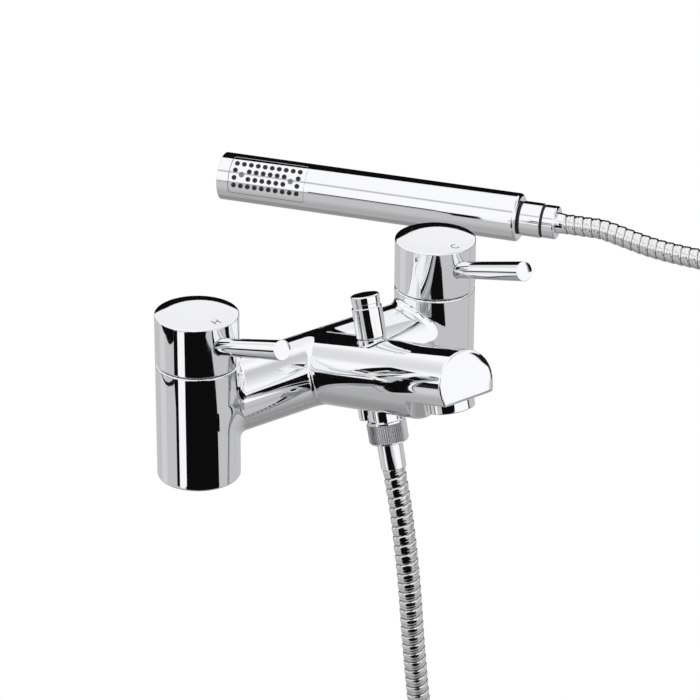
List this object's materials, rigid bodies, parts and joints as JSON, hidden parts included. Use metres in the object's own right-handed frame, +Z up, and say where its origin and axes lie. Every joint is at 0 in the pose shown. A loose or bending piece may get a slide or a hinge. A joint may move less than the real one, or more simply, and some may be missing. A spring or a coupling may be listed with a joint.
{
  "type": "bath shower mixer",
  "caption": "Deck-mounted bath shower mixer: pillars with lever handles, bridge, rising spout with pull-up diverter, and a ribbed hose to a stick hand shower.",
  "frame": {"origin": "on the deck, midway between the hot and the cold inlet", "axes": "+X from hot to cold, the spout points along -Y, +Z up"},
  "size_m": [0.534, 0.483, 0.5538],
  "materials": {
    "chrome": "polished chromium plate on brass",
    "hose_chrome": "chromed strip wound in interlocking ribs",
    "brass": "machined, unplated",
    "ceramic": "lapped ceramic",
    "seal_rubber": "matt black rubber",
    "nozzle_rubber": "dark grey silicone",
    "steel": "plain stainless steel",
    "moulded_plastic": "moulded white plastic"
  },
  "bodies": {
    "mixer": {"mixer_body": "chrome", "hot_seat_seal": "seal_rubber", "hot_fixed_disc": "ceramic", "hot_base_seal": "seal_rubber", "hot_cartridge_body": "brass", "cold_seat_seal": "seal_rubber", "cold_fixed_disc": "ceramic", "cold_base_seal": "seal_rubber", "cold_cartridge_body": "brass", "diverter_bush": "chrome", "rod_seal": "seal_rubber", "diverter_spring": "steel", "aerator_housing": "chrome", "aerator_insert": "moulded_plastic", "aerator_seal": "seal_rubber", "outlet_stub": "chrome", "core_plug": "chrome", "hose_nut": "chrome", "hose_washer": "seal_rubber", "hose_cone": "chrome", "shower_hose": "hose_chrome", "handset_ferrule": "chrome"},
    "hot_handle": {"hot_moving_disc": "ceramic", "hot_spindle": "brass", "hot_spindle_seals": "seal_rubber", "hot_handle_cap": "chrome", "hot_lever": "chrome", "hot_grub_screw": "steel"},
    "cold_handle": {"cold_moving_disc": "ceramic", "cold_spindle": "brass", "cold_spindle_seals": "seal_rubber", "cold_handle_cap": "chrome", "cold_lever": "chrome", "cold_grub_screw": "steel"},
    "diverter": {"diverter_knob": "chrome", "diverter_rod": "steel", "diverter_piston": "brass", "piston_seals": "seal_rubber"},
    "handset": {"handset_nut": "chrome", "handset_washer": "seal_rubber", "handset_connector": "chrome", "connector_ring": "seal_rubber", "nut_ring": "seal_rubber", "handset_tube": "chrome", "handset_end_plug": "chrome", "spray_plate": "chrome", "nozzle_pad": "nozzle_rubber", "spray_carrier": "moulded_plastic", "spray_screws": "steel"}
  },
  "joints": [
    {"name": "hot_handle_turn", "type": "hinge", "parent": "mixer", "child": "hot_handle", "pos_m": [-0.09, 0, 0.09], "axis": [0, 0, 1], "range_deg": [-90, 0]},
    {"name": "cold_handle_turn", "type": "hinge", "parent": "mixer", "child": "cold_handle", "pos_m": [0.09, 0, 0.09], "axis": [0, 0, 1], "range_deg": [0, 90]},
    {"name": "diverter_lift", "type": "slide", "parent": "mixer", "child": "diverter", "axis": [0, 0.2756, 0.9613], "range_m": [0, 0.01], "stiffness_N_per_m": 120, "springref_m": -0.01, "deforming": ["diverter_spring"]},
    {"name": "handset_swivel", "type": "hinge", "parent": "mixer", "child": "handset", "pos_m": [0.1682, 0.33, 0.01675], "axis": [0.5417, -0.8406, 0], "continuous": true}
  ]
}
